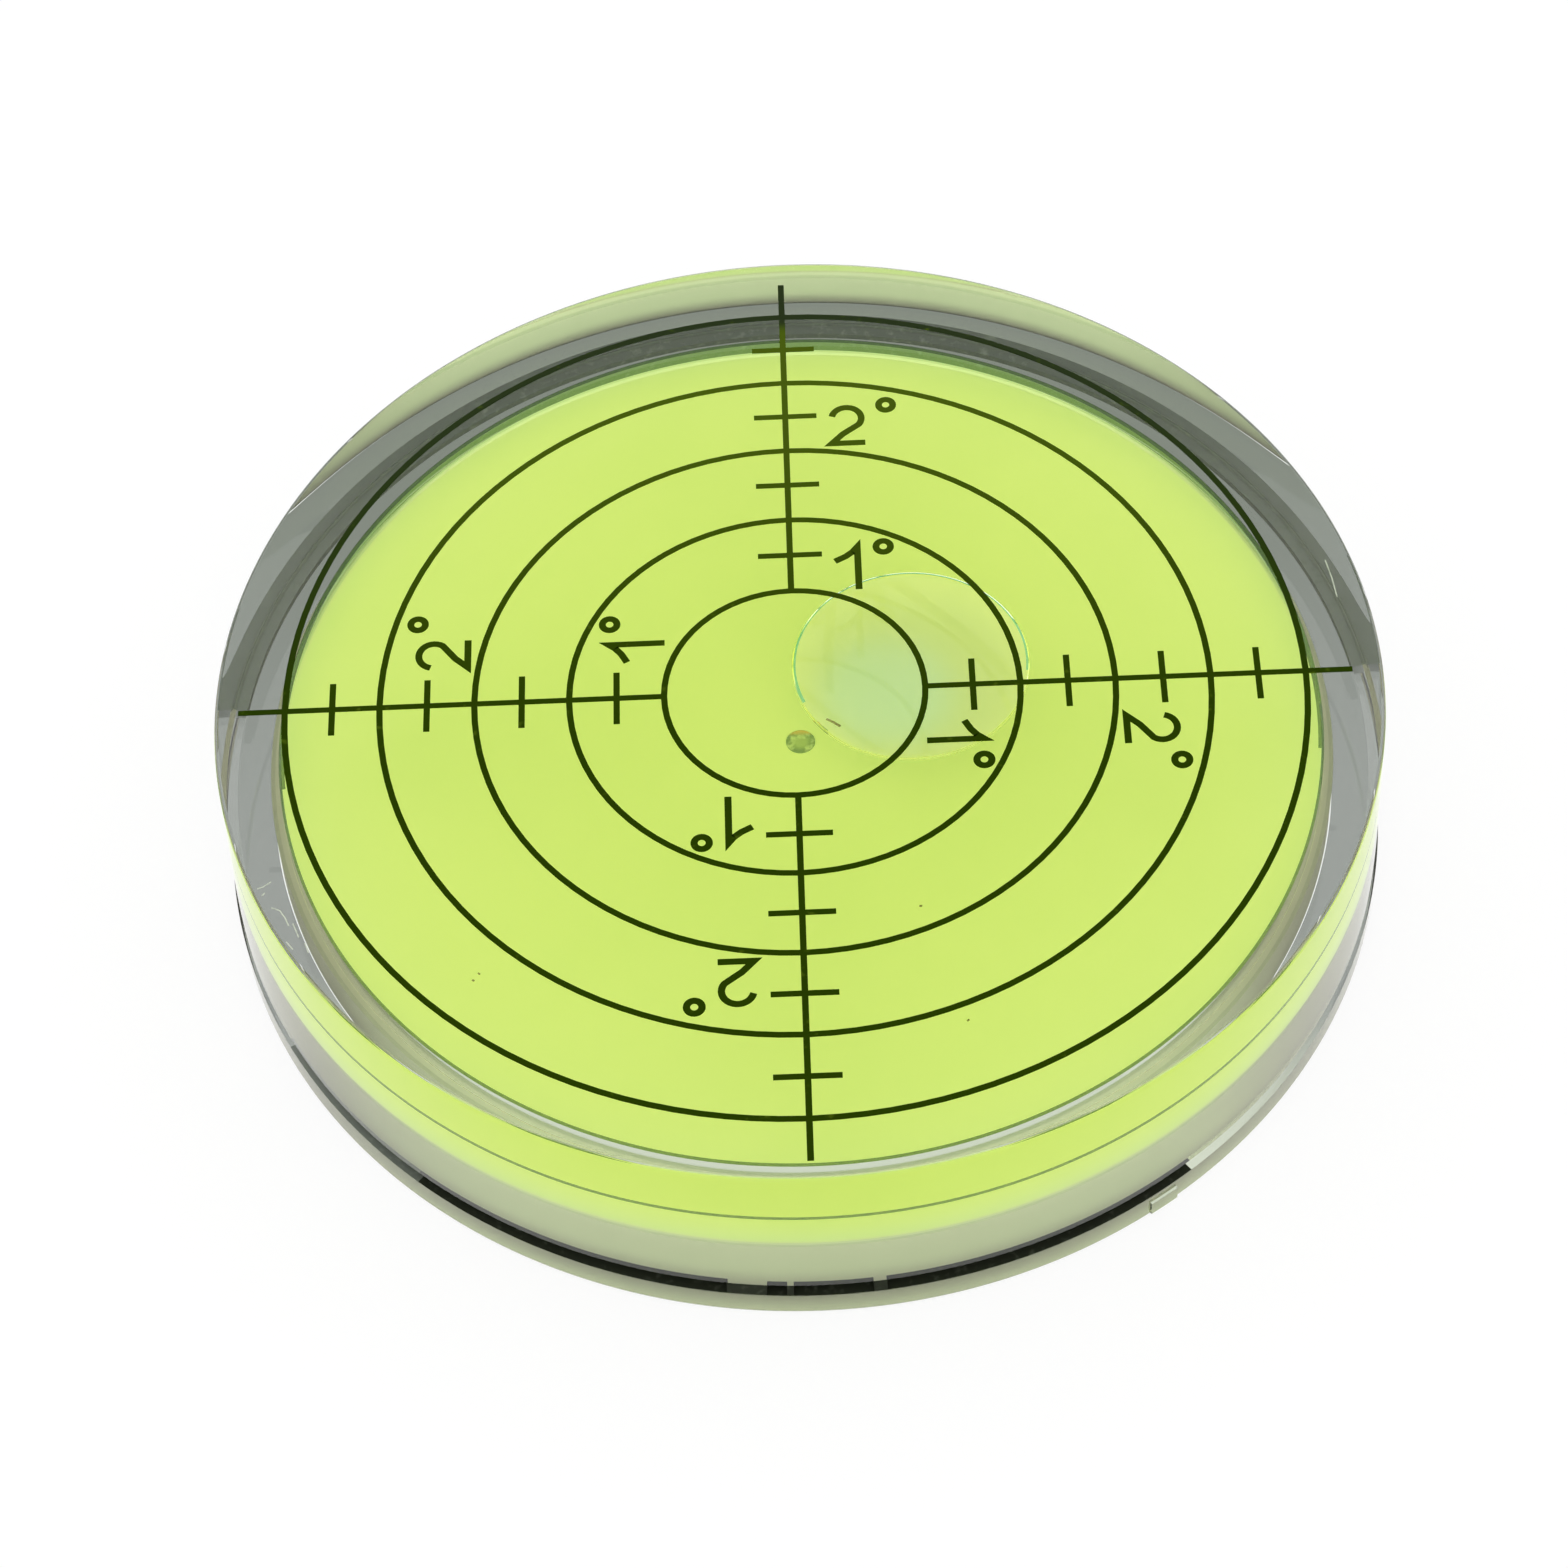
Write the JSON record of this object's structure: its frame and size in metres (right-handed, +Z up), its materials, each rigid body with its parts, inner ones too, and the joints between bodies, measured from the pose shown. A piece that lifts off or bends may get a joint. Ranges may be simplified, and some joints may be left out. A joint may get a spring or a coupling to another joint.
{
  "type": "bullseye level",
  "caption": "Flat round spirit level: clear thick-lensed disc filled with green liquid, with a bubble under rings and a cross, closed from below by a milky disc.",
  "frame": {"origin": "centre of the resting face, on the axis of the disc", "axes": "+Z up through the lens, +X along the right-hand arm of the printed cross, +Y away from the front"},
  "size_m": [0.0666, 0.0666, 0.0127],
  "materials": {
    "clear_housing": "clear moulded acrylic, polished",
    "milky_base": "milky pale plastic, smooth",
    "cement": "clear cement, glossy",
    "plug_wax": "greenish grey sealing compound",
    "dyed_liquid": "clear liquid, fluorescent yellow-green dye",
    "scale_ink": "dark screen-printed ink"
  },
  "bodies": {
    "root": {"housing": "clear_housing", "base_plate": "milky_base", "cement_joint": "cement", "filling_plug": "plug_wax", "sight_liquid": "dyed_liquid", "scale_print": "scale_ink"}
  },
  "joints": []
}
